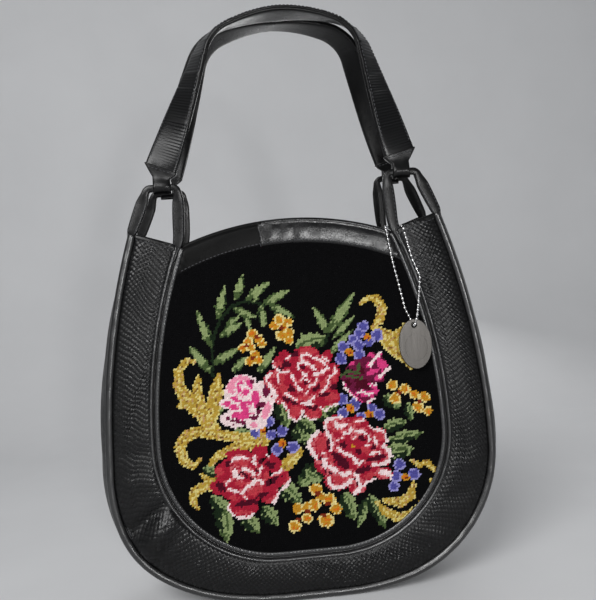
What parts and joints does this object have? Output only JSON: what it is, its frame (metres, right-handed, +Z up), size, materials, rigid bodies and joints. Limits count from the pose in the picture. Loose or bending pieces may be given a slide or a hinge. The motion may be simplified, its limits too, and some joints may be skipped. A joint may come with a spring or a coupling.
{
  "type": "snakeskin handbag",
  "caption": "Two-handled snakeskin tote with a needlepoint rose bouquet framed by leather bindings, hinged handles on leather loops, and a steel tag on a ball chain.",
  "frame": {"origin": "middle of the base, on the ground", "axes": "+Z up, +X to the right of someone who faces the needlepoint, which looks towards -Y"},
  "size_m": [0.3612, 0.0966, 0.5288],
  "materials": {
    "snakeskin": "glossy scales with dark grooves between them",
    "plain_leather": "smooth glazed leather",
    "canvas_black": "matt wool needlepoint",
    "wool_red": "wool stitches",
    "wool_pink": "wool stitches",
    "wool_green": "wool stitches",
    "wool_gold": "wool stitches",
    "wool_violet": "wool stitches",
    "wool_yellow": "wool stitches",
    "lining_cloth": "plain woven lining",
    "tag_steel": "satin steel",
    "chain_steel": "bright plated steel",
    "snap_metal": "dull nickel"
  },
  "bodies": {
    "bag": {"front_surround": "snakeskin", "front_inner_binding": "plain_leather", "front_outer_binding": "plain_leather", "front_right_loop": "plain_leather", "front_left_loop": "plain_leather", "back_surround": "snakeskin", "back_inner_binding": "plain_leather", "back_outer_binding": "plain_leather", "back_right_loop": "plain_leather", "back_left_loop": "plain_leather", "needlepoint_panel": "canvas_black", "front_top_band_left": "plain_leather", "front_top_band_right": "plain_leather", "wool_red_roses": "wool_red", "wool_pink_roses": "wool_pink", "wool_violets": "wool_violet", "wool_yellow_blossoms": "wool_yellow", "wool_scrolls": "wool_gold", "wool_leaves": "wool_green", "back_centre_panel": "plain_leather", "back_top_band": "plain_leather", "gusset": "plain_leather", "lining": "lining_cloth", "snap_socket": "snap_metal", "snap_stud": "snap_metal"},
    "front_handle": {"front_handle_outer": "snakeskin", "front_handle_lining": "plain_leather", "front_handle_right_tab": "plain_leather", "front_handle_left_tab": "plain_leather"},
    "back_handle": {"back_handle_outer": "snakeskin", "back_handle_lining": "plain_leather", "back_handle_right_tab": "plain_leather", "back_handle_left_tab": "plain_leather"},
    "chain": {"ball_chain": "chain_steel", "chain_connector": "chain_steel"},
    "tag": {"hang_tag": "tag_steel"}
  },
  "joints": [
    {"name": "front_handle_swing", "type": "hinge", "parent": "bag", "child": "front_handle", "pos_m": [0, -0.02436, 0.37644], "axis": [1, 0, 0], "range_deg": [0, 150]},
    {"name": "back_handle_swing", "type": "hinge", "parent": "bag", "child": "back_handle", "pos_m": [0, 0.02436, 0.37644], "axis": [-1, 0, 0], "range_deg": [0, 150]},
    {"name": "chain_lift", "type": "hinge", "parent": "bag", "child": "chain", "pos_m": [0.097, -0.02312, 0.32786], "axis": [-1, 0, 0], "range_deg": [0, 45]},
    {"name": "tag_swing", "type": "hinge", "parent": "chain", "child": "tag", "pos_m": [0.10758, -0.03636, 0.23779], "axis": [0, -0.9983, 0.059], "range_deg": [-30, 30]}
  ]
}
